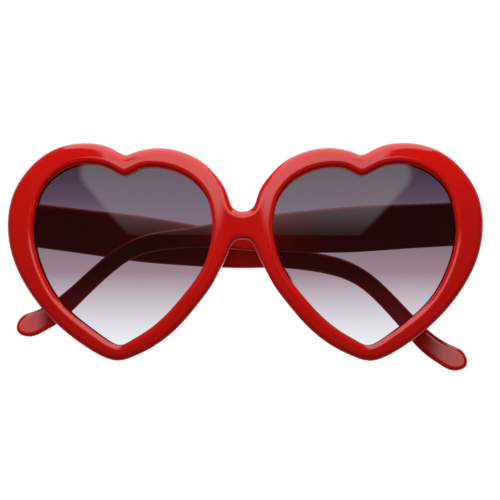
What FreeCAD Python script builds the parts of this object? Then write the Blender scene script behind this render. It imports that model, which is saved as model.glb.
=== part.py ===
import FreeCAD, Part
import math
import os

# Heart shaped sunglasses, folded. Millimetres, +Z up, the front looks along -Y.
# The origin is under the bridge, at the top of the nose arch, in the middle of the plastic.
# Left and right are the wearer's: left is +X. The left temple is folded in first.

V = FreeCAD.Vector
ORIGIN = V(0, 0, 0)
X_AXIS = V(1, 0, 0)
Y_AXIS = V(0, 1, 0)
Z_AXIS = V(0, 0, 1)
LEFT = 1
RIGHT = -1

# Points of an outline to each of its edges, and how near two curves count as one
edge_points = 5
touch = 0.01

# Front
front_width = 147.0
front_height = 67.0
front_thickness = 4.8
front_radius = 280.0
nose_gap = 14.0
outer_round = 1.6
inner_round = 0.9

# Heights on the front as shares of its height: the nose arch over the lower points, the bridge
# over the arch, the depth of the arch, the middle of a nose pad below it and of a hinge above it.
front_drop_share = 0.558209
bridge_share = 0.126866
nose_depth_share = 0.138806
pad_drop_share = 0.186567
hinge_rise_share = 0.071642

# Rims, measured from the lens opening to the outline of the front
temple_rim = 8.2
top_rim = 5.9
bottom_rim = 4.8
lens_gap = 18.5

# Lenses
lens_thickness = 2.0
lens_groove = 1.2

# Nose pads, moulded on the front
pad_length = 13.0
pad_width = 4.4
pad_reach = 6.5
pad_splay = 1.6
pad_lean_deg = 30.0

# Hinges
leaf_setback = 0.8
hinge_lean_deg = 2.2
knuckle_count = 5
knuckle_radius = 1.7
knuckle_height = 1.7
knuckle_gap = 0.1
front_clearance = 0.2
temple_clearance = 0.5
pin_clearance = 0.05
web_width_share = 1.2
leaf_thickness = 0.8
leaf_margin = 0.3
front_leaf_inside = 1.5
front_leaf_outside = 3.0
temple_leaf_length = 10.5
temple_leaf_height = 7.0
temple_leaf_setback = 0.6
screw_radius = 0.7
screw_head_radius = 1.25
screw_head_height = 0.6
screw_slot_width = 0.35
screw_slot_depth = 0.3
rivet_radius = 0.45
rivet_depth = 1.2
rivet_head_radius = 0.75
rivet_head_height = 0.3
rivet_clearance = 0.1

# End pieces, the thick ends of the front that carry the hinges
end_step = 1.0
end_inset = 1.2
end_margin = 1.0
end_round = 0.8

# Temples
temple_length = 137.0
temple_drop = 37.2
temple_height = 13.4
temple_thickness = 3.4
temple_round_share = 0.082090
open_gap = 0.08
left_tuck_deg = 2.5
fold_clearance = 0.9
fold_overlap_share = 0.64

# Outline of one heart from the bridge over the notch to the lower point and back to the
# nose, as shares of half the width and of the height.
heart_shares = (
    (0.040, 0.701), (0.063, 0.760), (0.121, 0.861), (0.156, 0.900), (0.210, 0.938),
    (0.280, 0.966), (0.355, 0.977), (0.425, 0.968), (0.462, 0.955), (0.491, 0.945),
    (0.520, 0.955), (0.565, 0.981), (0.628, 0.998), (0.702, 0.999), (0.777, 0.982),
    (0.852, 0.940), (0.926, 0.862), (0.976, 0.771), (1.000, 0.620), (0.976, 0.468),
    (0.926, 0.353), (0.851, 0.239), (0.752, 0.133), (0.652, 0.054), (0.588, 0.016),
    (0.528, 0.000), (0.462, 0.019), (0.379, 0.064), (0.280, 0.147), (0.181, 0.271),
    (0.126, 0.355),
)

# Sections of a nose pad from the middle of the plastic to its tip, as shares of its depth and size.
pad_shares = ((0.00, 1.00), (0.60, 0.90), (0.88, 0.72), (1.00, 0.40))

# Nose arch from its open foot to near its top, as shares of half the gap and of its depth.
arch_shares = ((1.00, 1.00), (0.71, 0.58), (0.50, 0.21), (0.34, 0.06))

# Lens opening from the nose side over its notch to the temple side, then down to the point and
# back, as shares of its width and height.
opening_shares = (
    (0.000, 0.650), (0.007, 0.724), (0.029, 0.806), (0.083, 0.884), (0.155, 0.937),
    (0.237, 0.969), (0.327, 0.982), (0.400, 0.973), (0.452, 0.948), (0.488, 0.937),
    (0.525, 0.951), (0.588, 0.983), (0.678, 1.000), (0.768, 0.990), (0.858, 0.950),
    (0.930, 0.884), (0.970, 0.806), (0.993, 0.706), (1.000, 0.607), (0.985, 0.507),
    (0.948, 0.398), (0.885, 0.281), (0.795, 0.181), (0.723, 0.122), (0.633, 0.056),
    (0.563, 0.012), (0.516, 0.000), (0.466, 0.020), (0.362, 0.082), (0.254, 0.172),
    (0.164, 0.272), (0.093, 0.362), (0.038, 0.462), (0.011, 0.558),
)

# Middle line of a temple behind its hinge and its height there, as shares of the temple's
# length, of its drop and of its height at the hinge.
temple_shares = (
    (0.146, 0.050, 1.030), (0.263, 0.090, 1.050), (0.350, 0.118, 0.975),
    (0.423, 0.141, 0.880), (0.496, 0.163, 0.740), (0.566, 0.184, 0.560), (0.633, 0.215, 0.455),
    (0.690, 0.248, 0.435), (0.728, 0.290, 0.420), (0.762, 0.355, 0.400), (0.802, 0.472, 0.395),
    (0.872, 0.726, 0.425), (0.920, 0.882, 0.490), (0.955, 0.956, 0.530), (0.980, 0.997, 0.500),
)

# Rounded tip of a temple beyond its last section, back and down, as shares of its height.
temple_tip_shares = (0.204478, 0.095000)

# Worked out from the sizes above
half_width = front_width / 2
front_drop = front_height * front_drop_share
bridge_height = front_height * bridge_share
nose_depth = front_height * nose_depth_share
pad_drop = front_height * pad_drop_share
hinge_rise = front_height * hinge_rise_share
half_thickness = front_thickness / 2
front_sag = front_radius - math.sqrt(front_radius ** 2 - half_width ** 2)
front_back = front_radius - math.sqrt((front_radius - half_thickness) ** 2 - half_width ** 2)
opening_width = half_width - temple_rim - lens_gap / 2
opening_height = front_height - top_rim - bottom_rim
end_back = front_back + end_step
hinge_x = half_width - temple_rim + leaf_setback + front_leaf_inside
hinge_y = end_back + front_clearance + knuckle_radius
temple_inside = knuckle_radius + temple_clearance
temple_round = temple_height * temple_round_share
front_face = -(front_clearance + knuckle_radius)
barrel_height = knuckle_count * knuckle_height + (knuckle_count - 1) * knuckle_gap
knuckle_pitch = knuckle_height + knuckle_gap
web_width = knuckle_radius * web_width_share
front_rivet_rise = barrel_height / 2 + rivet_clearance + rivet_head_radius
front_leaf_height = 2 * (front_rivet_rise + rivet_head_radius + leaf_margin)
end_height = front_leaf_height + 2 * end_margin

# The left temple tucks in past the line between the pins. The right one lies behind it and clears
# it as far along as the two overlap when seen from the front.
pin_span = 2 * hinge_x
overlap_span = pin_span * fold_overlap_share
tucked = (pin_span - overlap_span) * math.tan(math.radians(left_tuck_deg))
right_lay_deg = math.degrees(math.atan((temple_thickness + fold_clearance - tucked) / overlap_span))
left_fold_deg = 90 + left_tuck_deg
right_fold_deg = 90 - right_lay_deg


def hinge_point(side):
    """Middle of the hinge pin on one side."""
    return V(side * hinge_x, hinge_y, hinge_rise)


def hinge_axis():
    """Direction of both hinge pins, which lean a little to the left."""
    lean = math.radians(hinge_lean_deg)
    return V(math.sin(lean), 0, math.cos(lean))


def both_sides(shape):
    """A shape of the left side and its mirror image, fused."""
    return shape.fuse(shape.mirror(ORIGIN, X_AXIS))


def prism(wire, back):
    """The space behind an outline, from in front of the plastic to a depth behind it."""
    space = Part.Face(wire).extrude(V(0, back + front_thickness, 0))
    space.translate(V(0, -front_thickness, 0))
    return space


def dome(grow):
    """The ball whose surface is the middle of the plastic, grown by a length."""
    middle = front_height / 2 - front_drop
    return Part.makeSphere(front_radius + grow, V(0, front_radius, middle))


def curved_slab(thickness):
    """A sheet bent both ways, as a lens is, about the middle of the plastic."""
    return dome(thickness / 2).cut(dome(-thickness / 2))


def smooth_edges(points, closed):
    """Edges of one smooth curve through points, a few points to each edge."""
    curve = Part.BSplineCurve()
    curve.interpolate(Points=points, PeriodicFlag=closed)
    first, last = curve.FirstParameter, curve.LastParameter
    stops = [curve.parameter(point) for point in points[edge_points::edge_points]]
    stops = [first] + [stop for stop in stops if stop < last] + [last]
    return curve, [curve.toShape(start, end) for start, end in zip(stops, stops[1:])]


def curved_edges(shape):
    """The edges of a shape that aren't straight."""
    return [edge for edge in shape.Edges if not isinstance(edge.Curve, Part.Line)]


def front_wire():
    """Outline of the front: the left heart from bridge to nose arch, and its mirror image."""
    half = [V(half_width * x, 0, front_height * z - front_drop) for x, z in heart_shares]
    half += [V(nose_gap / 2 * x, 0, -nose_depth * z) for x, z in arch_shares]
    mirrored = [V(-point.x, 0, point.z) for point in reversed(half)]
    points = [V(0, 0, bridge_height)] + half + [ORIGIN] + mirrored
    return Part.Wire(smooth_edges(points, True)[1])


def opening_wire(grow):
    """Outline of the left lens opening, grown outwards square to its edge."""
    low = bottom_rim - front_drop
    points = [V(lens_gap / 2 + opening_width * x, 0, low + opening_height * z)
              for x, z in opening_shares]
    curve, edges = smooth_edges(points, True)
    if grow > 0:
        along = [curve.tangent(curve.parameter(point))[0] for point in points]
        points = [point + V(-run.z, 0, run.x) * grow for point, run in zip(points, along)]
        curve, edges = smooth_edges(points, True)
    return Part.Wire(edges)


def make_lens():
    """Left lens, a bent sheet that reaches into the groove of its rim."""
    space = prism(opening_wire(lens_groove), front_sag + front_thickness)
    return space.common(curved_slab(lens_thickness))


def first_hit(wire, drop):
    """Where a level line from the middle plane first meets a wire of the left side."""
    level = Part.makeLine(V(0, 0, -drop), V(half_width, 0, -drop))
    return min(pair[0].x for pair in level.distToShape(wire)[1])


def nose_pad(outline, rim):
    """Left nose pad: an oval root in the rim that spreads towards the back and ends in a dome."""
    middle = (first_hit(outline, pad_drop) + first_hit(rim, pad_drop)) / 2
    sections = []
    for back_share, size_share in pad_shares:
        oval = Part.Ellipse(ORIGIN, pad_length / 2 * size_share, pad_width / 2 * size_share)
        wire = Part.Wire([oval.toShape()])
        wire.rotate(ORIGIN, X_AXIS, 90)
        wire.rotate(ORIGIN, Y_AXIS, 90 - pad_lean_deg)
        back = (half_thickness + pad_reach) * back_share
        wire.translate(V(middle + pad_splay * back_share, back, -pad_drop))
        sections.append(wire)
    return Part.makeLoft(sections, True)


def end_piece(outline, opening):
    """Left end piece: a flat backed lug behind the rim, set in from the outline of the front."""
    inner = hinge_x - front_leaf_inside - end_margin / 2
    lug = Part.makeBox(half_width, end_back, end_height, V(inner, 0, hinge_rise - end_height / 2))
    inside = prism(outline, end_back + front_thickness)
    inside.translate(V(-end_inset, 0, 0))
    lug = lug.common(inside).common(dome(0)).cut(opening)
    rims = [edge for edge in lug.Edges if edge.BoundBox.YMin > end_back - end_step / 2]
    return lug.makeFillet(end_round, rims)


def at_hinge(shape, side):
    """Places a shape made round the left pin, standing at the origin, on one side."""
    placed = shape.copy() if side == LEFT else shape.mirror(ORIGIN, X_AXIS)
    placed.rotate(ORIGIN, Y_AXIS, hinge_lean_deg)
    placed.translate(hinge_point(side))
    return placed


def folded(shape, side):
    """Turns an open temple's piece about its pin to where it lies at rest."""
    turn = left_fold_deg if side == LEFT else -right_fold_deg
    result = shape.copy()
    result.rotate(hinge_point(side), hinge_axis(), turn)
    return result


def knuckle_foot(index):
    """Lower end of one knuckle along the pin."""
    return index * knuckle_pitch - barrel_height / 2


def leaf_knuckles(first, web_corner, web_size, bore):
    """Every second knuckle of a hinge with the web that joins it to its leaf."""
    knuckles = []
    for index in range(first, knuckle_count, 2):
        foot = V(0, 0, knuckle_foot(index))
        web = Part.makeBox(web_size.x, web_size.y, knuckle_height, foot + web_corner)
        barrel = Part.makeCylinder(knuckle_radius, knuckle_height, foot).fuse(web)
        knuckles.append(barrel.cut(Part.makeCylinder(bore, knuckle_height, foot)))
    return knuckles


def front_leaf_plate(depth):
    """Plate of the front leaf with its outside on the end piece's back face."""
    size = V(front_leaf_inside + front_leaf_outside, leaf_thickness, front_leaf_height)
    corner = V(-front_leaf_inside, front_face - leaf_thickness, -front_leaf_height / 2)
    return Part.makeBox(size.x, size.y + depth, size.z, corner)


def front_leaf():
    """Front leaf of a hinge: plate and the outer knuckles, tight on the screw."""
    corner = V(-web_width / 2, front_face, 0)
    knuckles = leaf_knuckles(0, corner, V(web_width, -front_face, 0), screw_radius)
    return front_leaf_plate(0).fuse(knuckles).removeSplitter()


def temple_leaf_plate(depth):
    """Plate of the temple leaf, let into the inner face of the open temple."""
    corner = V(temple_inside - depth, temple_leaf_setback + front_face, -temple_leaf_height / 2)
    return Part.makeBox(leaf_thickness + depth, temple_leaf_length, temple_leaf_height, corner)


def temple_leaf():
    """Temple leaf of a hinge: plate and the inner knuckles, free on the screw."""
    corner = V(0, -web_width / 2, 0)
    size = V(temple_inside, web_width, 0)
    knuckles = leaf_knuckles(1, corner, size, screw_radius + pin_clearance)
    return temple_leaf_plate(0).fuse(knuckles).removeSplitter()


def hinge_screw():
    """Slotted screw that is the hinge pin, with its head on the top knuckle."""
    shank = Part.makeCylinder(screw_radius, barrel_height, V(0, 0, -barrel_height / 2))
    head = Part.makeCylinder(screw_head_radius, screw_head_height, V(0, 0, barrel_height / 2))
    slot_foot = barrel_height / 2 + screw_head_height - screw_slot_depth
    slot = Part.makeBox(2 * screw_head_radius, screw_slot_width, screw_slot_depth,
                        V(-screw_head_radius, -screw_slot_width / 2, slot_foot))
    return shank.fuse(head).cut(slot)


def rivet(place, inward):
    """Rivet with its head on a leaf at a place and its shank driven inward."""
    shank = Part.makeCylinder(rivet_radius, leaf_thickness + rivet_depth, place, inward)
    head = Part.makeCylinder(rivet_head_radius, rivet_head_height, place, -inward)
    return shank.fuse(head)


def front_rivets():
    """Rivets of the front leaf, above and below the barrel."""
    middle = (front_leaf_outside - front_leaf_inside) / 2
    return [rivet(V(middle, front_face, rise), -Y_AXIS)
            for rise in (front_rivet_rise, -front_rivet_rise)]


def temple_rivets():
    """Rivets of the temple leaf, one behind the other along the temple."""
    last = front_face + temple_leaf_setback + temple_leaf_length - leaf_margin - rivet_head_radius
    first = knuckle_radius + leaf_margin + rivet_head_radius
    return [rivet(V(temple_inside, back, 0), X_AXIS) for back in (first, last)]


def temple_outline():
    """Side outline of an open temple round its pin: upper edge, rounded tip and lower edge."""
    root = V(0, front_face + open_gap, 0)
    middle = [V(0, temple_length * along, -temple_drop * drop) for along, drop, tall in temple_shares]
    tip_back, tip_down = temple_tip_shares
    tip = middle[-1] + V(0, temple_height * tip_back, -temple_height * tip_down)
    path = [root] + middle + [tip]
    upper = [root + Z_AXIS * (temple_height / 2)]
    lower = [root - Z_AXIS * (temple_height / 2)]
    for before, point, after, shares in zip(path, middle, path[2:], temple_shares):
        run = (after - before).normalize()
        square = V(0, -run.z, run.y) * (temple_height * shares[2] / 2)
        upper.append(point + square)
        lower.append(point - square)
    return smooth_edges(upper + [tip] + lower[::-1], False)[1]


def make_temple():
    """Left temple, open, round its pin: the outline given a thickness, with a square root."""
    edges = temple_outline()
    root = Part.makeLine(edges[-1].lastVertex().Point, edges[0].firstVertex().Point)
    temple = Part.Face(Part.Wire(edges + [root])).extrude(V(temple_thickness, 0, 0))
    temple = temple.makeFillet(temple_round, curved_edges(temple))
    temple.translate(V(temple_inside, 0, 0))
    return temple


def place_temple(temple, side):
    """Puts the open temple at its hinge; the temple itself doesn't lean with the pin."""
    placed = temple.copy() if side == LEFT else temple.mirror(ORIGIN, X_AXIS)
    placed.translate(hinge_point(side))
    return placed


def follows(edge, wire):
    """Whether an edge of either side runs along a wire of the left side, seen from the front."""
    middle = edge.valueAt((edge.FirstParameter + edge.LastParameter) / 2)
    seen = Part.Vertex(V(abs(middle.x), 0, middle.z))
    return wire.distToShape(seen)[0] < touch


def make_front():
    """Front with its rims, bridge, nose pads and end pieces, before lenses and hinges are let in."""
    reach = front_sag + front_thickness
    outline = front_wire()
    rim = opening_wire(0)
    opening = prism(rim, reach)
    body = prism(outline, reach).common(curved_slab(front_thickness))
    body = body.makeFillet(outer_round, curved_edges(body))
    body = body.cut(both_sides(opening))
    body = body.makeFillet(inner_round, [edge for edge in curved_edges(body) if follows(edge, rim)])
    body = body.fuse(both_sides(end_piece(outline, opening)))
    return body.fuse(both_sides(nose_pad(outline, rim)))


def save(name, shape):
    """Writes one piece under its name."""
    shape.exportStep("parts/" + name + ".step")
    print(name, shape.isValid(), len(shape.Solids), round(shape.Volume, 2))


def main():
    """Builds and writes every piece."""
    os.makedirs("parts", exist_ok=True)
    left_lens = make_lens()
    front = make_front()
    temple = make_temple()
    all_front_rivets = []
    for side, name, lens in ((LEFT, "left", left_lens), (RIGHT, "right", left_lens.mirror(ORIGIN, X_AXIS))):
        screw = at_hinge(hinge_screw(), side)
        rivets = [at_hinge(piece, side) for piece in front_rivets()]
        leaf = at_hinge(front_leaf(), side).cut(rivets)
        front = front.cut([lens, at_hinge(front_leaf_plate(end_round), side)] + rivets)
        all_front_rivets += rivets
        save(name + "_lens", lens)
        save(name + "_front_leaf", leaf)
        save(name + "_hinge_screw", screw)

        rivets = [at_hinge(piece, side) for piece in temple_rivets()]
        leaf = at_hinge(temple_leaf(), side).cut(rivets)
        arm = place_temple(temple, side).cut([at_hinge(temple_leaf_plate(temple_round), side)] + rivets)
        save(name + "_temple", folded(arm, side))
        save(name + "_temple_leaf", folded(leaf, side))
        save(name + "_temple_rivets", folded(Part.makeCompound(rivets), side))
    save("front_frame", front)
    save("front_rivets", Part.makeCompound(all_front_rivets))


main()
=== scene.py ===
"""Heart shaped sunglasses, folded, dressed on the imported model."""

import logging
import math
from dataclasses import dataclass, field
from enum import Enum

import bmesh
import bpy
import numpy as np
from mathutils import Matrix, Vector


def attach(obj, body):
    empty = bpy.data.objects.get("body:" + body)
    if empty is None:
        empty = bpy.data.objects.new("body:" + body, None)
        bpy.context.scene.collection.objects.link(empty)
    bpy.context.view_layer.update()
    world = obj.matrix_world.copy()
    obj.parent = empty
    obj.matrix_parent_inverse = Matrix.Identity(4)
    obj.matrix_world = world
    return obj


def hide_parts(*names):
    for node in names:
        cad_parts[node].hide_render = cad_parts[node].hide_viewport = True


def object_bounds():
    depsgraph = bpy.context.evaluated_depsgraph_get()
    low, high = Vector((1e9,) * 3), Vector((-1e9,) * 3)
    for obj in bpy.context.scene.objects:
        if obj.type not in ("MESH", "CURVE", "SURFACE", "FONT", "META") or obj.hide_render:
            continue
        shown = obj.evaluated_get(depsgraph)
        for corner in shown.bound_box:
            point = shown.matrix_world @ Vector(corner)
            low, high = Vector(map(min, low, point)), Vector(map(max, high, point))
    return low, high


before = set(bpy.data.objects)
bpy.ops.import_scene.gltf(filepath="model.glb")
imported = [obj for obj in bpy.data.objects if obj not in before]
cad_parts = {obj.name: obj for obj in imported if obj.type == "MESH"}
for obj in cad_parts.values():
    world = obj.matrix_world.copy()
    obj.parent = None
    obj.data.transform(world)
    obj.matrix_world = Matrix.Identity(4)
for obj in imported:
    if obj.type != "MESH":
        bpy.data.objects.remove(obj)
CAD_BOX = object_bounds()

LOG = logging.getLogger("sunglasses")
Array = np.ndarray
Colour = tuple[float, float, float, float]
Span = tuple[float, float]

MM = 0.001
MERGE_MM = 1e-4
ON_LINE_MM = 0.003
FAR_MM = 1e3
TINY = 1e-12
SHARP_DEG = 38.0
NOISE_RANGE = (0.3, 0.7)
UP = np.array([0.0, 0.0, 1.0])


class Side(Enum):
    """Side of the wearer; the value is the sign of X there."""

    LEFT = 1
    RIGHT = -1

    @property
    def label(self) -> str:
        """First word of the names of this side's pieces."""
        return self.name.lower()


FOLD_DEG = {Side.LEFT: 92.5, Side.RIGHT: 88.56}
TWIST_DEG = {Side.LEFT: (0.0, 7.0), Side.RIGHT: (-2.5, 3.0)}


class Slot(Enum):
    """Material slots of the record that the finishes stand for."""

    PLASTIC = "red_plastic"
    LENS = "smoke_lens"
    HINGE = "hinge_metal"
    SCREW = "screw_steel"


@dataclass
class SmoothCurve:
    """Cubic spline through points of a plane, spaced by the length of its chords.

    Between points i and i+1, a length h apart, the curve is the cubic that has the second
    derivatives M[i] and M[i+1] at its ends. The M make the slopes agree at every point, with
    M = 0 at the ends of an open curve.
    """

    points: Array
    closed: bool
    stops: Array = field(init=False)
    bend: Array = field(init=False)

    def __post_init__(self) -> None:
        """Solves the second derivatives for all points at once."""
        ring = np.vstack([self.points, self.points[:1]]) if self.closed else self.points
        run = np.linalg.norm(np.diff(ring, axis=0), axis=1)
        self.stops = np.concatenate([[0.0], np.cumsum(run)])
        slope = np.diff(ring, axis=0) / run[:, None]
        count = len(ring) - 1 if self.closed else len(ring)
        before = np.roll(run, 1) if self.closed else np.concatenate([[1.0], run])
        after = run if self.closed else np.concatenate([run, [1.0]])
        rows = np.arange(count)
        system = np.zeros((count, count))
        system[rows, rows] = 2 * (before + after)
        system[rows, (rows + 1) % count] += after
        system[rows, (rows - 1) % count] += before
        if self.closed:
            right = 6 * (slope - np.roll(slope, 1, axis=0))
        else:
            inner = 6 * np.diff(slope, axis=0)
            right = np.vstack([np.zeros((1, 2)), inner, np.zeros((1, 2))])
            system[[0, -1]] = np.eye(count)[[0, -1]]
        bend = np.linalg.solve(system, right)
        self.bend = np.vstack([bend, bend[:1]]) if self.closed else bend
        self.points = ring

    def at_length(self, along: Array) -> Array:
        """Points of the curve at lengths along its chords.

        Args:
            along: Lengths in millimetres; a closed curve wraps round.

        Returns:
            One row (x, z) for each length.
        """
        along = np.mod(along, self.stops[-1]) if self.closed else along
        index = np.clip(np.searchsorted(self.stops, along, side="right") - 1, 0, len(self.stops) - 2)
        step = (self.stops[index + 1] - self.stops[index])[:, None]
        far = ((along - self.stops[index])[:, None]) / step
        near = 1 - far
        curve = near * self.points[index] + far * self.points[index + 1]
        pull = (near ** 3 - near) * self.bend[index] + (far ** 3 - far) * self.bend[index + 1]
        return curve + pull * step ** 2 / 6

    def length_at(self, index: Array) -> Array:
        """Chord lengths of point numbers, which may lie between two points."""
        numbers = np.arange(len(self.stops))
        turns = np.floor_divide(index, len(self.stops) - 1) if self.closed else 0
        rest = index - turns * (len(self.stops) - 1)
        return np.interp(rest, numbers, self.stops) + turns * self.stops[-1]


def distance_to(points: Array, line: Array) -> Array:
    """Distance of points from a closed line, by the nearest of the two segments at its nearest corner.

    Args:
        points: Any array of (x, z).
        line: Corners (x, z) of the closed line, close together.

    Returns:
        The distances, in the shape of points without its last axis.
    """
    flat = points.reshape(-1, 2)
    square = (flat ** 2).sum(1)[:, None] - 2 * flat @ line.T + (line ** 2).sum(1)[None]
    nearest = square.argmin(1)

    def to_segment(first: Array, last: Array) -> Array:
        """Distance of each point from its own segment."""
        run = last - first
        share = ((flat - first) * run).sum(1) / np.maximum((run ** 2).sum(1), TINY)
        foot = first + np.clip(share, 0, 1)[:, None] * run
        return np.linalg.norm(flat - foot, axis=1)

    corner, count = line[nearest], len(line)
    gap = np.minimum(to_segment(line[(nearest - 1) % count], corner),
                     to_segment(corner, line[(nearest + 1) % count]))
    return np.where(gap < ON_LINE_MM, 0.0, gap).reshape(points.shape[:-1])


def edge_drop(gap: Array, width: float, depth: float) -> Array:
    """How far an oval edge falls below a face: depth (1 - sqrt(1 - ((width - gap) / width)^2)).

    Args:
        gap: Distance from the edge.
        width: How far the rounding reaches over the face.
        depth: How far it falls at the edge.

    Returns:
        The falls, 0 beyond the width.
    """
    inside = np.clip(1 - gap / width, 0, 1)
    return depth * (1 - np.sqrt(1 - inside ** 2))


def round_steps(count: int) -> Array:
    """Shares 1 - cos of even turns from 0 to a quarter, which space rows evenly round an edge."""
    return 1 - np.cos(np.linspace(0, math.pi / 2, count))


def smooth_step(low: float, high: float, value: Array) -> Array:
    """Goes from 0 at low to 1 at high as 3t^2 - 2t^3."""
    share = np.clip((value - low) / (high - low), 0, 1)
    return share * share * (3 - 2 * share)


def grid_faces(rows: int, columns: int, wrap_rows: bool, wrap_columns: bool) -> Array:
    """Quads of a grid whose points are numbered row by row.

    Args:
        rows: Number of rows.
        columns: Number of columns.
        wrap_rows: Whether the last row joins the first.
        wrap_columns: Whether the last column joins the first.

    Returns:
        One row of four point numbers for each quad.
    """
    row = np.arange(rows if wrap_rows else rows - 1)[:, None]
    column = np.arange(columns if wrap_columns else columns - 1)[None]
    next_row, next_column = (row + 1) % rows, (column + 1) % columns
    corners = (row * columns + column, row * columns + next_column,
               next_row * columns + next_column, next_row * columns + column)
    return np.stack(np.broadcast_arrays(*corners), axis=-1).reshape(-1, 4)


def add_piece(name: str, points: Array, quads: Array, material: bpy.types.Material) -> bpy.types.Object:
    """Puts a closed surface into the scene, its doubled points merged and its faces turned outwards.

    Args:
        name: Name of the piece.
        points: Corners in millimetres.
        quads: Four point numbers for each face; doubled ones make triangles at a pole.
        material: Finish of the piece.

    Returns:
        The new object, at the origin.
    """
    mesh = bpy.data.meshes.new(name)
    mesh.vertices.add(len(points))
    mesh.vertices.foreach_set("co", (points * MM).astype(np.float32).ravel())
    mesh.loops.add(quads.size)
    mesh.loops.foreach_set("vertex_index", quads.astype(np.int32).ravel())
    mesh.polygons.add(len(quads))
    mesh.polygons.foreach_set("loop_start", np.arange(0, quads.size, 4, dtype=np.int32))
    mesh.update(calc_edges=True)
    work = bmesh.new()
    work.from_mesh(mesh)
    bmesh.ops.remove_doubles(work, verts=work.verts, dist=MERGE_MM * MM)
    bmesh.ops.dissolve_degenerate(work, edges=work.edges, dist=MERGE_MM * MM)
    bmesh.ops.recalc_face_normals(work, faces=work.faces)
    work.to_mesh(mesh)
    work.free()
    mesh.validate()
    mesh.polygons.foreach_set("use_smooth", np.ones(len(mesh.polygons), dtype=bool))
    mesh.set_sharp_from_angle(angle=math.radians(SHARP_DEG))
    mesh.materials.append(material)
    piece = bpy.data.objects.new(name, mesh)
    bpy.context.scene.collection.objects.link(piece)
    LOG.info("%s: %d faces", name, len(mesh.polygons))
    return piece


class NodePen:
    """Adds and joins the nodes of one material."""

    def __init__(self, name: str) -> None:
        """Starts a material with its shader alone."""
        self.material = bpy.data.materials.new(name)
        self.material.use_nodes = True
        self.tree = self.material.node_tree
        self.shader = self.tree.nodes["Principled BSDF"]

    def add(self, kind: str, **values: object) -> bpy.types.Node:
        """Adds a node and sets its properties and, by their names, its sockets.

        Args:
            kind: Type name of the node.
            values: Properties; those that the node lacks are sockets, with _ for a space.

        Returns:
            The node.
        """
        node = self.tree.nodes.new(kind)
        for name, value in values.items():
            if hasattr(node, name):
                setattr(node, name, value)
            else:
                node.inputs[name.replace("_", " ")].default_value = value
        return node

    def join(self, start: bpy.types.NodeSocket, end: bpy.types.NodeSocket) -> None:
        """Links two sockets."""
        self.tree.links.new(start, end)

    def set(self, **values: object) -> None:
        """Sets sockets of the shader, with _ for a space."""
        for name, value in values.items():
            self.shader.inputs[name.replace("_", " ")].default_value = value

    def place(self) -> bpy.types.NodeSocket:
        """Object coordinates."""
        return self.add("ShaderNodeTexCoord").outputs["Object"]

    def noise(self, place: bpy.types.NodeSocket, size_mm: float, detail: float) -> bpy.types.NodeSocket:
        """Noise with grains of a size in millimetres."""
        node = self.add("ShaderNodeTexNoise", Scale=1 / (size_mm * MM), Detail=detail)
        self.join(place, node.inputs["Vector"])
        return node.outputs["Fac"]

    def spread(self, value: bpy.types.NodeSocket, low: float, high: float) -> bpy.types.NodeSocket:
        """Maps a noise from its usual range to another."""
        start, end = NOISE_RANGE
        node = self.add("ShaderNodeMapRange", From_Min=start, From_Max=end, To_Min=low, To_Max=high)
        self.join(value, node.inputs["Value"])
        return node.outputs["Result"]

    def ramp(self, value: bpy.types.NodeSocket,
             stops: tuple[tuple[float, Colour], ...]) -> bpy.types.NodeSocket:
        """Colours along a value from 0 to 1.

        Args:
            value: What is looked up.
            stops: Places and their colours, in order.

        Returns:
            The colour.
        """
        node = self.add("ShaderNodeValToRGB")
        elements = node.color_ramp.elements
        for place, _ in stops[2:]:
            elements.new(place)
        for element, (place, colour) in zip(elements, stops):
            element.position = place
            element.color = colour
        self.join(value, node.inputs["Fac"])
        return node.outputs["Color"]

    def bump(self, height: bpy.types.NodeSocket, depth_mm: float, strength: float) -> None:
        """Roughens the surface by a height."""
        node = self.add("ShaderNodeBump", Distance=depth_mm * MM, Strength=strength)
        self.join(height, node.inputs["Height"])
        self.join(node.outputs["Normal"], self.shader.inputs["Normal"])


@dataclass(frozen=True)
class GlossPlastic:
    """Polished moulded plastic: a deep colour with faint clouds, fine scuffs and slight orange peel."""

    name: str
    deep: Colour
    bright: Colour
    roughness: Span = (0.055, 0.10)
    ior: float = 1.49
    specular: float = 0.5
    cloud_mm: float = 16.0
    cloud_detail: float = 2.0
    scuff_mm: float = 1.6
    scuff_detail: float = 4.0
    peel_mm: float = 2.4
    peel_detail: float = 1.0
    peel_depth_mm: float = 0.012
    peel_strength: float = 0.12

    def build(self) -> bpy.types.Material:
        """Makes the material."""
        pen = NodePen(self.name)
        pen.set(IOR=self.ior, Specular_IOR_Level=self.specular)
        place = pen.place()
        cloud = pen.noise(place, self.cloud_mm, self.cloud_detail)
        colour = pen.ramp(cloud, tuple(zip(NOISE_RANGE, (self.deep, self.bright))))
        pen.join(colour, pen.shader.inputs["Base Color"])
        scuff = pen.spread(pen.noise(place, self.scuff_mm, self.scuff_detail), *self.roughness)
        pen.join(scuff, pen.shader.inputs["Roughness"])
        peel = pen.noise(place, self.peel_mm, self.peel_detail)
        pen.bump(peel, self.peel_depth_mm, self.peel_strength)
        return pen.material


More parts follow.
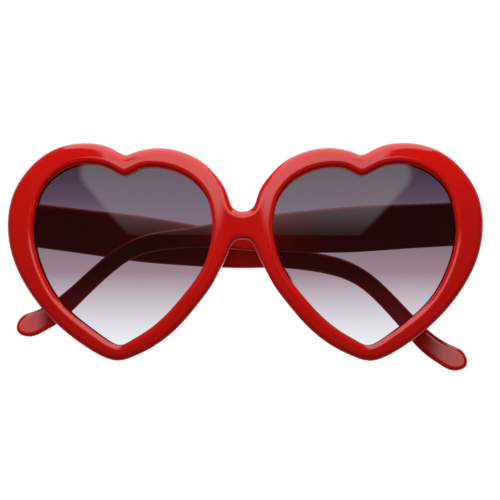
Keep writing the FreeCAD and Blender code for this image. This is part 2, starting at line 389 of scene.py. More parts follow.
@dataclass(frozen=True)
class GradientLens:
    """Tinted lens, smoky at the top and nearly clear at the bottom."""

    name: str
    low_mm: float
    high_mm: float
    stops: tuple[tuple[float, Colour], ...]
    ior: float = 1.46
    roughness: Span = (0.0, 0.006)
    smear_mm: float = 5.0
    smear_detail: float = 3.0

    def build(self) -> bpy.types.Material:
        """Makes the material, tinted by height."""
        pen = NodePen(self.name)
        pen.set(IOR=self.ior, Transmission_Weight=1.0)
        place = pen.place()
        split = pen.add("ShaderNodeSeparateXYZ")
        pen.join(place, split.inputs["Vector"])
        rise = pen.add("ShaderNodeMapRange", From_Min=self.low_mm * MM, From_Max=self.high_mm * MM)
        pen.join(split.outputs["Z"], rise.inputs["Value"])
        pen.join(pen.ramp(rise.outputs["Result"], self.stops), pen.shader.inputs["Base Color"])
        smear = pen.spread(pen.noise(place, self.smear_mm, self.smear_detail), *self.roughness)
        pen.join(smear, pen.shader.inputs["Roughness"])
        return pen.material


@dataclass(frozen=True)
class BrushedMetal:
    """Metal with fine brushed lines along one direction."""

    name: str
    colour: Colour
    roughness: Span
    line_mm: float = 0.12
    stretch: tuple[float, float, float] = (1.0, 1.0, 0.06)
    line_detail: float = 3.0
    line_depth_mm: float = 0.01
    line_strength: float = 0.2

    def build(self) -> bpy.types.Material:
        """Makes the material."""
        pen = NodePen(self.name)
        pen.set(Base_Color=self.colour, Metallic=1.0)
        stretch = pen.add("ShaderNodeMapping", Scale=self.stretch)
        pen.join(pen.place(), stretch.inputs["Vector"])
        lines = pen.noise(stretch.outputs["Vector"], self.line_mm, self.line_detail)
        pen.join(pen.spread(lines, *self.roughness), pen.shader.inputs["Roughness"])
        pen.bump(lines, self.line_depth_mm, self.line_strength)
        return pen.material


RED_PLASTIC = GlossPlastic(Slot.PLASTIC.value,
                           (0.58, 0.0056, 0.0028, 1.0), (0.64, 0.0072, 0.0036, 1.0))
SMOKE_LENS = GradientLens(Slot.LENS.value, -33.0, 24.0, (
    (0.00, (0.940, 0.940, 0.965, 1.0)),
    (0.12, (0.790, 0.775, 0.825, 1.0)),
    (0.28, (0.555, 0.480, 0.545, 1.0)),
    (0.40, (0.350, 0.245, 0.292, 1.0)),
    (0.60, (0.215, 0.155, 0.205, 1.0)),
    (0.70, (0.175, 0.125, 0.177, 1.0)),
    (0.80, (0.108, 0.069, 0.109, 1.0)),
    (0.91, (0.067, 0.042, 0.068, 1.0)),
    (1.00, (0.048, 0.031, 0.048, 1.0)),
))
HINGE_METAL = BrushedMetal(Slot.HINGE.value, (0.62, 0.60, 0.57, 1.0), (0.28, 0.45))
SCREW_STEEL = BrushedMetal(Slot.SCREW.value, (0.52, 0.52, 0.53, 1.0), (0.22, 0.36),
                           line_mm=0.08, stretch=(1.0, 1.0, 1.0))


@dataclass
class Dome:
    """Ball that the front follows; the middle of the plastic lies on it. Millimetres."""

    radius: float = 280.0
    middle_rise: float = -3.9
    outline_lift: float = 1.0

    def lift(self, place: Array, grow: Array) -> Array:
        """Points on the ball grown by a length, straight out from its middle through a place.

        A place (x, z) lies on the ball of radius r + outline lift, and its ray from the middle is
        followed to radius r + grow, so walls stand square to the bent front.

        Args:
            place: Array of (x, z).
            grow: Growth of the ball, positive towards the front.

        Returns:
            The points (x, y, z).
        """
        seen = self.radius + self.outline_lift
        across, up = place[..., 0], place[..., 1] - self.middle_rise
        ahead = np.sqrt(seen ** 2 - across ** 2 - up ** 2)
        share = (self.radius + grow) / seen
        depth, height = self.radius - ahead * share, up * share + self.middle_rise
        return np.stack([across * share, depth, height], axis=-1)


@dataclass
class Outlines:
    """Outline of the front and of its left lens opening, seen from the front. Millimetres."""

    half_width: float = 73.5
    height: float = 67.0
    drop: float = 37.4
    bridge_height: float = 8.5
    half_nose_gap: float = 7.0
    nose_depth: float = 9.3
    opening_inside: float = 9.25
    opening_width: float = 56.05
    opening_low: float = -32.6
    opening_height: float = 56.3
    heart_shares: tuple[Span, ...] = (
        (0.040, 0.701), (0.063, 0.760), (0.121, 0.861), (0.156, 0.900), (0.210, 0.938),
        (0.280, 0.966), (0.355, 0.977), (0.425, 0.968), (0.462, 0.955), (0.491, 0.945),
        (0.520, 0.955), (0.565, 0.981), (0.628, 0.998), (0.702, 0.999), (0.777, 0.982),
        (0.852, 0.940), (0.926, 0.862), (0.976, 0.771), (1.000, 0.620), (0.976, 0.468),
        (0.926, 0.353), (0.851, 0.239), (0.752, 0.133), (0.652, 0.054), (0.588, 0.016),
        (0.528, 0.000), (0.462, 0.019), (0.379, 0.064), (0.280, 0.147), (0.181, 0.271),
        (0.126, 0.355))
    arch_shares: tuple[Span, ...] = ((1.00, 1.00), (0.71, 0.58), (0.50, 0.21), (0.34, 0.06))
    opening_shares: tuple[Span, ...] = (
        (0.000, 0.650), (0.007, 0.724), (0.029, 0.806), (0.083, 0.884), (0.155, 0.937),
        (0.237, 0.969), (0.327, 0.982), (0.400, 0.973), (0.452, 0.948), (0.488, 0.937),
        (0.525, 0.951), (0.588, 0.983), (0.678, 1.000), (0.768, 0.990), (0.858, 0.950),
        (0.930, 0.884), (0.970, 0.806), (0.993, 0.706), (1.000, 0.607), (0.985, 0.507),
        (0.948, 0.398), (0.885, 0.281), (0.795, 0.181), (0.723, 0.122), (0.633, 0.056),
        (0.563, 0.012), (0.516, 0.000), (0.466, 0.020), (0.362, 0.082), (0.254, 0.172),
        (0.164, 0.272), (0.093, 0.362), (0.038, 0.462), (0.011, 0.558))

    def front(self) -> SmoothCurve:
        """Closed outline of the whole front, from the middle of the bridge over the left heart."""
        heart = np.array(self.heart_shares) * (self.half_width, self.height) - (0, self.drop)
        arch = np.array(self.arch_shares) * (self.half_nose_gap, -self.nose_depth)
        half = np.vstack([heart, arch])
        mirrored = half[::-1] * (-1, 1)
        top, foot = np.array([[0, self.bridge_height]]), np.zeros((1, 2))
        return SmoothCurve(np.vstack([top, half, foot, mirrored]), True)

    def opening(self) -> SmoothCurve:
        """Closed outline of the left lens opening, from its nose side upwards."""
        size = (self.opening_width, self.opening_height)
        corner = (self.opening_inside, self.opening_low)
        return SmoothCurve(np.array(self.opening_shares) * size + corner, True)


def outward(curve: Array) -> Array:
    """Unit normals (x, z) of a closed line of points that runs round the lens from nose to temple."""
    run = np.roll(curve, -1, axis=0) - np.roll(curve, 1, axis=0)
    run /= np.linalg.norm(run, axis=1, keepdims=True)
    return np.stack([-run[:, 1], run[:, 0]], axis=1)


@dataclass
class FrontFrame:
    """Front with both rims, bridge, nose pads and end pieces. Millimetres.

    The notch is its distance from the middle, how far it reaches to each side, and how much of
    the face's lean it takes away.
    """

    dome: Dome
    outlines: Outlines
    thickness: float = 4.8
    outer_round: float = 1.6
    inner_round: float = 0.9
    front_round: float = 1.4
    outer_fall: float = 2.1
    inner_fall: float = 1.5
    face_lean: float = 0.14
    notch: tuple[float, float, float] = (36.0, 6.0, 0.75)
    notch_from: Span = (10.0, 18.0)
    crest: float = 1.8
    crest_soft: float = 0.5
    lean_from: Span = (4.0, 12.0)
    lip_top: float = 0.8
    lip_top_from: Span = (0.0, 0.9)
    lip_side: float = 0.35
    lip_side_from: Span = (0.2, 1.0)
    lip_fade: float = 2.5
    front_lip_share: float = 0.7
    bridge_lean: float = 0.06
    bridge_reach: Span = (3.5, 7.5)
    lens_slot: float = 2.04
    slot_depth: float = 1.2
    column_step: float = 0.42
    seam_columns: int = 28
    inner_rows: int = 9
    face_rows: int = 9
    outer_rows: int = 13
    line_step: float = 0.08
    pad_middle: Span = (11.66, -12.5)
    pad_length: float = 13.0
    pad_width: float = 4.4
    pad_back: float = 8.9
    pad_splay: float = 1.6
    pad_lean_deg: float = 60.0
    pad_power: float = 2.6
    pad_flare: float = 0.08
    pad_flare_to: Span = (0.25, 0.5)
    pad_columns: int = 72
    pad_rows: int = 26
    lug_low: Span = (65.6, -2.55)
    lug_high: Span = (72.0, 12.15)
    lug_back: float = 13.25
    lug_corner: float = 1.1
    lug_least_corner: float = 0.3
    lug_round: float = 0.8
    lug_lid: float = 0.6
    lug_columns: int = 96
    lug_rows: int = 8
    rays: tuple[Span, ...] = (
        (0, 0.7), (3, 2.6), (5, 4), (7, 6), (10, 9), (14, 12), (16, 14), (19, 18), (21, 20),
        (26, 26), (29, 29), (31, 31), (36, 33.5))

    def columns(self) -> tuple[Array, Array, int]:
        """Ends of the lines that cross the left rim, from its lens opening to its outer side.

        The lines join matched points of the two outlines. Where the rim meets the bridge the
        outer side is the middle plane, with its points crowded towards both edges.

        Returns:
            Inner ends, outer ends, and how many of them, the first ones, lie on the outline.
        """
        outline, opening = self.outlines.front(), self.outlines.opening()
        outer_stops, inner_stops = np.array(self.rays).T
        lengths = outline.length_at(outer_stops)
        count = int(round(lengths[-1] / self.column_step))
        along = np.linspace(0, lengths[-1], count)
        outer = outline.at_length(along)
        inner_along = np.interp(along, lengths, opening.length_at(inner_stops))
        seam = (1 - np.cos(np.linspace(0, math.pi, self.seam_columns + 2)[1:-1])) / 2
        up = np.stack([np.zeros(self.seam_columns), seam * self.outlines.bridge_height], axis=1)
        seam_along = np.interp(seam, (0, 1), opening.length_at(
            np.array([inner_stops[-1], inner_stops[0] + len(self.outlines.opening_shares)])))
        inner = opening.at_length(np.concatenate([inner_along, seam_along]))
        return inner, np.vstack([outer, up]), count

    def row_places(self, inner: Array, outer: Array) -> Array:
        """Places (row, column, xz) from the opening to the outer side, crowded at both rounded edges."""
        span = np.linalg.norm(outer - inner, axis=1)[None]
        near = self.inner_fall * round_steps(self.inner_rows)[:, None] / span
        far = 1 - self.outer_fall * round_steps(self.outer_rows)[::-1, None] / span
        even = np.linspace(0, 1, self.face_rows + 2)[1:-1, None]
        middle = near[-1:] + (far[:1] - near[-1:]) * even
        share = np.vstack([near, middle, far])[..., None]
        return inner[None] * (1 - share) + outer[None] * share

    def faces(self, place: Array) -> tuple[Array, Array]:
        """Heights of the front and back faces over the ball at (x, z).

        The front leans outwards from a crest beside the lens and is rounded off at its edges, the back
        is flat with round edges. The lean is slope (p + sqrt(p^2 + s^2)) / 2 at p past the crest, less
        beside the notch of the heart.

        Args:
            place: Array of (x, z).

        Returns:
            Front heights and back heights.
        """
        outline, opening = self.outlines.front(), self.outlines.opening()
        line = outline.at_length(np.arange(0, outline.stops[-1], self.line_step))
        hole = opening.at_length(np.arange(0, opening.stops[-1], self.line_step))
        out_gap, in_gap = distance_to(place, line), distance_to(place, hole)
        past = in_gap - self.crest
        fall = self.face_lean * (past + np.hypot(past, self.crest_soft)) / 2
        notch, notch_reach, notch_ease = self.notch
        beside = np.abs(np.abs(place[..., 0]) - notch)
        eased = notch_ease * (1 - smooth_step(0, notch_reach, beside))
        eased *= smooth_step(*self.notch_from, place[..., 1])
        fall *= smooth_step(*self.lean_from, np.abs(place[..., 0])) * (1 - eased)
        broad = edge_drop(out_gap, self.outer_fall, self.front_round)
        broad += edge_drop(in_gap, self.inner_fall, self.inner_round)
        tight = edge_drop(out_gap, self.outer_round, self.outer_round)
        tight += edge_drop(in_gap, self.inner_round, self.inner_round)
        half = self.thickness / 2
        bridge = 1 - smooth_step(*self.bridge_reach, np.abs(place[..., 0]))
        lean = self.bridge_lean * (self.outlines.bridge_height / 2 - place[..., 1]) * bridge
        front = half - fall - broad - lean - self.bridge_lean * self.outlines.bridge_height / 2 * bridge
        return front, tight - half

    def lip(self, way: Array) -> Array:
        """How far the rim reaches over the lens, more at the top and the temple side.

        Args:
            way: Unit normals (x, z) of the left lens opening.

        Returns:
            One length for each normal.
        """
        top = self.lip_top * smooth_step(*self.lip_top_from, way[:, 1])
        side = self.lip_side * smooth_step(*self.lip_side_from, way[:, 0])
        return np.maximum(top, side)

    def rim(self) -> tuple[Array, Array]:
        """Left half of the front: a rounded section with a slot for the lens, carried round the opening.

        Returns:
            Points and quads. The side on the middle plane is open.
        """
        inner, outer, on_outline = self.columns()
        place = self.row_places(inner, outer)
        front_height, back_height = self.faces(place)
        front = self.dome.lift(place, front_height)
        lip = -outward(inner) * self.lip(outward(inner))[:, None]
        near = np.clip(1 - np.linalg.norm(place - inner[None], axis=-1) / self.lip_fade, 0, 1)
        back = self.dome.lift(place + near[..., None] * lip[None], back_height)[::-1]
        deep = inner + outward(inner) * self.slot_depth
        slot = self.lens_slot / 2
        groove = np.stack([self.dome.lift(edge, np.float64(grow)) for edge, grow in
                           ((inner + lip, -slot), (deep, -slot), (deep, slot),
                            (inner + lip * self.front_lip_share, slot))])
        rows = np.concatenate([front, back, groove])
        total, columns = rows.shape[:2]
        quads = grid_faces(total, columns, True, True)
        wall = len(front) - 1
        seam = (quads[:, 0] // columns == wall) & (quads[:, 0] % columns >= on_outline - 1)
        return rows.reshape(-1, 3), quads[~seam]

    def pad(self) -> tuple[Array, Array]:
        """Left nose pad: ovals that shrink to the back as size^p + back^p = 1, shifted sideways."""
        turn = np.linspace(0, 2 * math.pi, self.pad_columns, endpoint=False)
        rise = np.sin(np.linspace(0, math.pi / 2, self.pad_rows))
        size = np.maximum(1 - rise ** self.pad_power, 0) ** (1 / self.pad_power)
        size *= 1 + self.pad_flare * (1 - smooth_step(*self.pad_flare_to, rise))
        lean = math.radians(self.pad_lean_deg)
        long_way = np.array([math.cos(lean), -math.sin(lean)]) * self.pad_length / 2
        short_way = np.array([math.sin(lean), math.cos(lean)]) * self.pad_width / 2
        oval = np.cos(turn)[:, None] * long_way + np.sin(turn)[:, None] * short_way
        shift = np.stack([self.pad_splay * rise, np.zeros_like(rise)], axis=1)
        place = np.array(self.pad_middle) + shift[:, None] + size[:, None, None] * oval[None]
        depth = np.broadcast_to(self.pad_back * rise[:, None], place.shape[:2])
        points = np.stack([place[..., 0], depth, place[..., 1]], axis=-1)
        return closed_ends(points)

    def lug(self) -> tuple[Array, Array]:
        """Left end piece: a rounded rectangle from inside the rim to a flat back with a rounded edge."""
        low, high = np.array(self.lug_low), np.array(self.lug_high)
        turn = np.linspace(0, 2 * math.pi, self.lug_columns, endpoint=False)
        ray = np.stack([np.cos(turn), np.sin(turn)], axis=1)
        steps = round_steps(self.lug_rows) * self.lug_round
        inset = np.concatenate([[0.0, 0.0], steps, [self.lug_round + self.lug_lid]])
        half = (high - low) / 2 - inset[:, None]
        corner = np.maximum(self.lug_corner - inset, self.lug_least_corner)[:, None]
        corner_from = (half - corner)[:, None]
        reach = np.clip(ray[None] * FAR_MM, -corner_from, corner_from)
        place = (low + high) / 2 + reach + ray[None] * corner[:, None]
        back = self.lug_back - edge_drop(steps, self.lug_round, self.lug_round)
        depth = np.concatenate([[0.0, back[0]], back, [self.lug_back]])[:, None]
        depth = np.broadcast_to(depth, place.shape[:2]).copy()
        depth[0] = self.dome.lift(place[0], np.float64(0))[:, 1]
        points = np.stack([place[..., 0], depth, place[..., 1]], axis=-1)
        return closed_ends(points)

    def build(self, material: bpy.types.Material) -> bpy.types.Object:
        """Makes both halves, pads and end pieces one piece that stands for the front."""
        points, quads = joined([self.rim(), self.pad(), self.lug()])
        both = np.vstack([points, points * (-1, 1, 1)])
        faces = np.vstack([quads, quads[:, ::-1] + len(points)])
        piece = add_piece("front", both, faces, material)
        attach(piece, "front")
        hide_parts("front_frame")
        return piece


def closed_ends(rings: Array) -> tuple[Array, Array]:
    """Quads of a stack of rings whose first and last ring are closed to their middle points.

    Args:
        rings: Points (ring, place on the ring, xyz).

    Returns:
        Points and quads; the quads at the two poles have a doubled point.
    """
    first = np.broadcast_to(rings[:1].mean(axis=1, keepdims=True), rings[:1].shape)
    last = np.broadcast_to(rings[-1:].mean(axis=1, keepdims=True), rings[-1:].shape)
    rows = np.concatenate([first, rings, last])
    return rows.reshape(-1, 3), grid_faces(rows.shape[0], rows.shape[1], False, True)


def joined(parts: list[tuple[Array, Array]]) -> tuple[Array, Array]:
    """Several surfaces as one list of points and quads."""
    starts = np.cumsum([0] + [len(points) for points, _ in parts[:-1]])
    quads = [faces + start for (_, faces), start in zip(parts, starts)]
    return np.vstack([points for points, _ in parts]), np.vstack(quads)


@dataclass
class Lens:
    """One lens, a bent sheet that fills the slot of its rim. Millimetres."""

    dome: Dome
    outlines: Outlines
    side: Side
    thickness: float = 2.0
    reach: float = 1.12
    bevel: float = 0.25
    middle: Span = (37.0, -2.0)
    columns: int = 360
    rows: int = 26
    first_ring: float = 0.04

    def sheet(self) -> tuple[Array, Array]:
        """Front and back on the ball, as rings that shrink from the edge to a middle point.

        Returns:
            Points and quads of the closed sheet.
        """
        opening = self.outlines.opening()
        along = np.linspace(0, opening.stops[-1], self.columns, endpoint=False)
        inner = opening.at_length(along)
        edge = inner + outward(inner) * self.reach
        middle = np.array(self.middle)
        share = np.linspace(self.first_ring, 1, self.rows)[:, None, None]
        face = middle + (edge - outward(inner) * self.bevel - middle)[None] * share
        half = self.thickness / 2
        grow = np.float64(half)
        rim = [self.dome.lift(edge, np.float64(way * (half - self.bevel))) for way in (1, -1)]
        front, back = self.dome.lift(face, grow), self.dome.lift(face, -grow)
        rings = np.concatenate([front, np.stack(rim), back[::-1]])
        return closed_ends(rings)

    def build(self, material: bpy.types.Material) -> bpy.types.Object:
        """Makes the lens of its side."""
        points, quads = self.sheet()
        name = self.side.label + "_lens"
        piece = add_piece(name + "_tinted", points * (self.side.value, 1, 1), quads, material)
        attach(piece, "front")
        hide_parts(name)
        return piece


@dataclass
class Temple:
    """One temple, folded behind the front. Millimetres."""

    side: Side
    fold_deg: float
    twist_deg: Span
    hinge: tuple[float, float, float] = (67.6, 15.207, 4.8)
    hinge_lean_deg: float = 2.2
    inside: float = 2.2
    leaf_cover: float = 0.36
    cover_from: Span = (10.0, 18.0)
    twist_from: Span = (120.0, 132.0)
    root_back: float = -1.82
    root_run: float = -40.0
    root_points: int = 400
    length: float = 137.0
    drop: float = 37.2
    height: float = 13.4
    thickness: float = 3.4
    edge_round: float = 1.1
    stations: int = 260
    station_ease: float = 0.85
    least_span: float = 1e-6
    edge_rows: int = 8
    most_edge_share: float = 0.45
    face_rows: int = 9
    line_step: float = 0.08
    shares: tuple[tuple[float, float, float], ...] = (
        (0.146, 0.050, 1.030), (0.263, 0.090, 1.050), (0.350, 0.118, 0.975),
        (0.423, 0.141, 0.880), (0.496, 0.163, 0.740), (0.566, 0.184, 0.560),
        (0.633, 0.215, 0.455), (0.690, 0.248, 0.435), (0.728, 0.290, 0.420),
        (0.762, 0.355, 0.400), (0.802, 0.472, 0.395), (0.872, 0.726, 0.425),
        (0.920, 0.882, 0.490), (0.955, 0.956, 0.530), (0.980, 0.997, 0.500))
    tip_shares: Span = (0.204478, 0.095)

    def edges(self) -> tuple[SmoothCurve, int]:
        """Side outline of the open temple in (y, z) from its pin, and the number of its tip's point."""
        along, fall, tall = np.array(self.shares).T
        root = np.array([[self.root_back, 0.0]])
        middle = np.stack([self.length * along, -self.drop * fall], axis=1)
        tip = middle[-1:] + self.height * np.array(self.tip_shares) * (1, -1)
        path = np.vstack([root, middle, tip])
        run = path[2:] - path[:-2]
        run /= np.linalg.norm(run, axis=1, keepdims=True)
        square = np.stack([-run[:, 1], run[:, 0]], axis=1) * (self.height * tall / 2)[:, None]
        rise = np.array([[0, self.height / 2]])
        upper = np.vstack([root + rise, middle + square])
        lower = np.vstack([root - rise, middle - square])
        return SmoothCurve(np.vstack([upper, tip, lower[::-1]]), False), len(upper)

    def blade(self) -> tuple[Array, Array]:
        """Open left temple round its pin: its outline given a thickness and rounded edges.

        Lines cross the blade from its lower to its upper edge; half the thickness falls off at
        the outline by the rounded edge's formula, except at the square root.

        Returns:
            Points and quads of the closed blade.
        """
        curve, tip = self.edges()
        tip_along = curve.stops[tip]
        ease = np.sin(np.linspace(0, math.pi / 2, self.stations)) ** self.station_ease
        upper = curve.at_length(ease * tip_along)
        lower = curve.at_length(curve.stops[-1] - ease * (curve.stops[-1] - tip_along))
        span = np.maximum(np.linalg.norm(upper - lower, axis=1), self.least_span)[None]
        near = self.edge_round * round_steps(self.edge_rows)[:, None] / span
        near = np.minimum(near, self.most_edge_share)
        even = np.linspace(0, 1, self.face_rows + 2)[1:-1, None]
        middle = near[-1:] + (1 - 2 * near[-1:]) * even
        share = np.vstack([near, middle, 1 - near[::-1]])[..., None]
        place = lower[None] * (1 - share) + upper[None] * share
        line = curve.at_length(np.arange(0, curve.stops[-1], self.line_step))
        lower_run = np.linspace(line[-1], (self.root_run, line[-1, 1]), self.root_points)
        upper_run = np.linspace((self.root_run, line[0, 1]), line[0], self.root_points)
        far = np.vstack([line, lower_run, upper_run])
        half = self.thickness / 2 - edge_drop(distance_to(place, far), self.edge_round, self.edge_round)
        centre = self.inside + self.thickness / 2
        low_twist, high_twist = np.tan(np.radians(self.twist_deg))
        twist = low_twist + (high_twist - low_twist) * smooth_step(*self.twist_from, place[..., 0])
        aside = twist * (place[..., 1] - (upper[:, 1] + lower[:, 1]) / 2)
        outside = np.stack([centre + half + aside, place[..., 0], place[..., 1]], axis=-1)
        cover = self.leaf_cover * (1 - smooth_step(*self.cover_from, place[..., 0]))
        inside = np.stack([centre - half - cover + aside, place[..., 0], place[..., 1]], axis=-1)[::-1]
        rows = np.concatenate([outside, inside])
        total, columns = rows.shape[:2]
        quads = grid_faces(total, columns, True, False)
        row = np.arange(len(outside) - 1)
        cap = np.stack([row, row + 1, total - 2 - row, total - 1 - row], axis=1) * columns
        return rows.reshape(-1, 3), np.vstack([quads, cap])

    def placed(self, points: Array) -> Array:
        """Points of the open left temple turned about its side's pin to where it lies folded.

        The turn is Rodrigues' formula about the pin, p cos t + (k x p) sin t + k (k.p)(1 - cos t).
        """
        sign = self.side.value
        points = points * (sign, 1, 1)
        lean = math.radians(self.hinge_lean_deg)
        axis = np.array([math.sin(lean), 0, math.cos(lean)])
        turn = math.radians(self.fold_deg) * sign
        level = (points @ axis)[:, None] * axis * (1 - math.cos(turn))
        turned = points * math.cos(turn) + np.cross(axis, points) * math.sin(turn) + level
        return turned + np.array(self.hinge) * (sign, 1, 1)

    def build(self, material: bpy.types.Material) -> bpy.types.Object:
        """Makes the temple of its side, which swings on its hinge."""
        points, quads = self.blade()
        name = self.side.label + "_temple"
        piece = add_piece(name + "_arm", self.placed(points), quads, material)
        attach(piece, name)
        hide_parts(name)
        return piece


@dataclass
class Hinges:
    """Hinge leaves, screws and rivets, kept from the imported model."""

    leaves: tuple[str, ...] = ("front_leaf", "temple_leaf", "temple_rivets")

    def dress(self, leaf: bpy.types.Material, screw: bpy.types.Material) -> None:
        """Gives every hinge piece its metal.

        Args:
            leaf: Metal of leaves and rivets.
            screw: Metal of the screws.
        """
        names = [side.label + "_" + name for side in Side for name in self.leaves] + ["front_rivets"]
        self.paint(names, leaf)
        self.paint([side.label + "_hinge_screw" for side in Side], screw)

    def paint(self, names: list[str], material: bpy.types.Material) -> None:
        """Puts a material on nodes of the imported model."""
        for name in names:
            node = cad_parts[name]
            node.data.materials.clear()
            node.data.materials.append(material)
            LOG.info("%s: dressed in %s", name, material.name)


class GlowPen:
    """Adds and joins the nodes that shape the glow of a light or of the surroundings."""

    def __init__(self, tree: bpy.types.NodeTree) -> None:
        """Takes the nodes to add to."""
        self.tree = tree

    def sums(self, operation: str, *inputs: object) -> bpy.types.NodeSocket:
        """Joins sockets or numbers.

        Args:
            operation: Name of the sum.
            inputs: What it joins, in order.

        Returns:
            The result.
        """
        node = self.tree.nodes.new("ShaderNodeMath")
        node.operation = operation
        for socket, value in zip(node.inputs, inputs):
            if isinstance(value, float):
                socket.default_value = value
            else:
                self.tree.links.new(value, socket)
        return node.outputs["Value"]

    def eased(self, value: bpy.types.NodeSocket, start: Span, end: Span) -> bpy.types.NodeSocket:
        """Maps a range to another as 3t^2 - 2t^3.

        Args:
            value: What is mapped.
            start: Range that it comes from.
            end: Range that it goes to.

        Returns:
            The result.
        """
        node = self.tree.nodes.new("ShaderNodeMapRange")
        node.interpolation_type = "SMOOTHSTEP"
        for name, number in zip(("From Min", "From Max", "To Min", "To Max"), (*start, *end)):
            node.inputs[name].default_value = number
        self.tree.links.new(value, node.inputs["Value"])
        return node.outputs["Result"]

    def along(self, place: bpy.types.NodeSocket,
              way: tuple[float, float, float]) -> bpy.types.NodeSocket:
        """Length of a place along a direction."""
        node = self.tree.nodes.new("ShaderNodeVectorMath")
        node.operation = "DOT_PRODUCT"
        node.inputs[1].default_value = way
        self.tree.links.new(place, node.inputs[0])
        return node.outputs["Value"]


@dataclass
class Studio:
    """Camera, soft lights, pale floor and white surroundings. Millimetres."""

    view_width: float = 153.4
    view_middle: Span = (2.2, -3.3)
    view_turn_deg: float = 3.9
    camera_distance: float = 3000.0
    sensor_width: float = 36.0
    view_reach_m: float = 100.0
    floor_size: float = 16000.0
    floor_drop: float = 0.2
    floor_colour: Colour = (0.12, 0.12, 0.12, 1.0)
    floor_roughness: float = 0.9
    floor_emission: float = 0.95
    white: Colour = (1.0, 1.0, 1.0, 1.0)
    key_size: Span = (1160.0, 2315.0)
    key_halves: tuple[float, float, float] = (340.0, 240.0, 540.0)
    key_waist_from: Span = (250.0, 580.0)
    key_waist_to: Span = (640.0, 1250.0)
    key_soft: float = 18.0
    key_fade_from: Span = (1250.0, 1900.0)
    key_far_glow: float = 0.1
    key_ahead: float = 728.0
    key_rise: float = 346.0
    key_turn_deg: float = -3.7
    key_tilt_deg: float = 13.6
    key_power: float = 19.5
    fill_size: Span = (1400.0, 380.0)
    fill_ahead: float = 840.0
    fill_rise: float = 1516.0
    fill_power: float = 12.0
    front_glow: float = 0.06
    back_glow: float = 0.4
    back_from: Span = (-0.1, 0.7)
    floor_glow: float = 0.2
    floor_from: Span = (0.1, -0.7)
    no_turn: float = 0.5

    def ahead(self, turn_deg: float) -> Array:
        """Level direction from the glasses, straight ahead of them or turned to their left."""
        turn = math.radians(turn_deg)
        return np.array([math.sin(turn), -math.cos(turn), 0.0])

    def camera(self) -> None:
        """Camera in front of the glasses and a little to their left, far away, with a long lens."""
        data = bpy.data.cameras.new("camera")
        data.sensor_width = self.sensor_width
        data.lens = self.sensor_width * self.camera_distance / self.view_width
        data.clip_end = self.view_reach_m
        camera = bpy.data.objects.new("camera", data)
        ahead = self.ahead(self.view_turn_deg)
        right = np.array([-ahead[1], ahead[0], 0.0])
        middle = right * self.view_middle[0] + UP * self.view_middle[1]
        camera.location = (middle + ahead * self.camera_distance) * MM
        camera.rotation_euler = (math.pi / 2, 0, math.radians(self.view_turn_deg))
        bpy.context.scene.collection.objects.link(camera)
        bpy.context.scene.camera = camera

    def area_light(self, name: str, middle: Array, way: Array, size: Span,
                   power: float) -> bpy.types.Object:
        """Adds a soft rectangular light.

        Args:
            name: Name of the light.
            middle: Where its middle is.
            way: Direction that it faces.
            size: Width and height.
            power: Power in watts.

        Returns:
            The light.
        """
        data = bpy.data.lights.new(name, "AREA")
        data.shape = "RECTANGLE"
        data.size, data.size_y = np.array(size) * MM
        data.energy = power
        light = bpy.data.objects.new(name, data)
        light.location = middle * MM
        light.rotation_euler = Vector(way).to_track_quat("-Z", "Y").to_euler()
        bpy.context.scene.collection.objects.link(light)
        return light

    def fill(self) -> None:
        """Adds a soft light above and before the glasses that no gloss and no lens shows."""
        middle = self.ahead(0) * self.fill_ahead + UP * self.fill_rise
        light = self.area_light("fill", middle, -middle, self.fill_size, self.fill_power)
        light.visible_glossy = False
        light.visible_transmission = False

    def shape_key(self, light: bpy.types.Light, ahead: Array) -> None:
        """Gives the long panel soft edges, a waist over the glasses and a dimmer far end.

        Its half width goes as 3t^2 - 2t^3 from the waist to the far end, and so does its glow.

        Args:
            light: The panel.
            ahead: Level direction along the panel.
        """
        light.use_nodes = True
        tree = light.node_tree
        pen = GlowPen(tree)
        place = tree.nodes.new("ShaderNodeNewGeometry").outputs["Position"]
        across = pen.sums("ABSOLUTE", pen.along(place, (-ahead[1], ahead[0], 0.0)))
        along = pen.along(place, tuple(ahead))
        ends = (self.key_waist_from, self.key_waist_to, self.key_fade_from)
        waist_from, waist_to, fade_from = (tuple(np.array(pair) * MM) for pair in ends)
        over, waist, far = np.array(self.key_halves) * MM
        near_half = pen.eased(along, waist_from, (over, waist))
        far_half = pen.eased(along, waist_to, (0.0, far - waist))
        beyond = pen.sums("SUBTRACT", across, pen.sums("ADD", near_half, far_half))
        soft = self.key_soft * MM
        inside = pen.eased(beyond, (-soft, soft), (1.0, 0.0))
        fade = pen.eased(along, fade_from, (1.0, self.key_far_glow))
        tree.links.new(pen.sums("MULTIPLY", inside, fade), tree.nodes["Emission"].inputs["Strength"])

    def key(self) -> None:
        """Adds a long soft panel that leans over the glasses from above the camera."""
        tilt = math.radians(self.key_tilt_deg)
        ahead = self.ahead(self.key_turn_deg)
        middle = ahead * self.key_ahead + UP * self.key_rise
        way = -ahead * math.sin(tilt) - UP * math.cos(tilt)
        light = self.area_light("key", middle, way, self.key_size, self.key_power)
        light.visible_transmission = False
        self.shape_key(light.data, ahead)

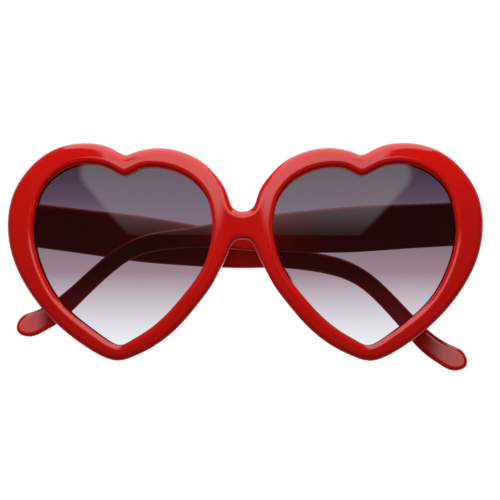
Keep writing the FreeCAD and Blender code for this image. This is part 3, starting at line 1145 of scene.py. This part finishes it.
    def surroundings(self) -> None:
        """White where they are seen directly or through the lenses; else white behind, dim in front.

        Matt surfaces get a share of the white behind and a glow from below.
        """
        world = bpy.data.worlds.new("studio")
        world.use_nodes = True
        tree = world.node_tree
        pen = GlowPen(tree)
        path = tree.nodes.new("ShaderNodeLightPath").outputs
        turns = pen.sums("ADD", path["Diffuse Depth"], path["Glossy Depth"])
        unlit = pen.sums("LESS_THAN", turns, self.no_turn)
        through = pen.sums("MULTIPLY", path["Is Transmission Ray"], unlit)
        seen = pen.sums("MAXIMUM", path["Is Camera Ray"], through)
        split = tree.nodes.new("ShaderNodeSeparateXYZ")
        tree.links.new(tree.nodes.new("ShaderNodeTexCoord").outputs["Generated"], split.inputs["Vector"])
        behind = pen.eased(split.outputs["Y"], self.back_from, (self.front_glow, 1.0))
        below = pen.eased(split.outputs["Z"], self.floor_from, (0.0, self.floor_glow))
        matt = pen.sums("MULTIPLY", path["Is Diffuse Ray"], 1 - self.back_glow)
        glow = pen.sums("MULTIPLY", behind, pen.sums("SUBTRACT", 1.0, matt))
        glow = pen.sums("ADD", glow, pen.sums("MULTIPLY", path["Is Diffuse Ray"], below))
        light = tree.nodes["Background"]
        tree.links.new(pen.sums("MAXIMUM", seen, glow), light.inputs["Strength"])
        light.inputs["Color"].default_value = self.white
        bpy.context.scene.world = world

    def floor(self) -> None:
        """Pale floor under the lowest point of the glasses."""
        half = self.floor_size / 2 * MM
        low = CAD_BOX[0].z - self.floor_drop * MM
        corners = [(-half, -half, low), (half, -half, low), (half, half, low), (-half, half, low)]
        mesh = bpy.data.meshes.new("floor")
        mesh.from_pydata(corners, [], [(0, 1, 2, 3)])
        pen = NodePen("floor")
        pen.set(Base_Color=self.floor_colour, Roughness=self.floor_roughness,
                Emission_Color=self.white, Emission_Strength=self.floor_emission)
        mesh.materials.append(pen.material)
        floor = bpy.data.objects.new("floor", mesh)
        bpy.context.scene.collection.objects.link(floor)
        floor.visible_glossy = False
        floor.visible_diffuse = False
        floor.visible_transmission = False

    def build(self) -> None:
        """Sets up the studio."""
        self.camera()
        self.key()
        self.fill()
        self.surroundings()
        self.floor()
        bpy.context.scene.view_settings.view_transform = "Standard"


def main() -> None:
    """Builds the glasses, dresses the hinges and sets up the studio."""
    logging.basicConfig(level=logging.INFO)
    dome, outlines = Dome(), Outlines()
    red, smoke = RED_PLASTIC.build(), SMOKE_LENS.build()
    FrontFrame(dome, outlines).build(red)
    for side in Side:
        Lens(dome, outlines, side).build(smoke)
    for side in Side:
        Temple(side, FOLD_DEG[side], TWIST_DEG[side]).build(red)
    Hinges().dress(HINGE_METAL.build(), SCREW_STEEL.build())
    Studio().build()


if __name__ == "__main__":
    main()
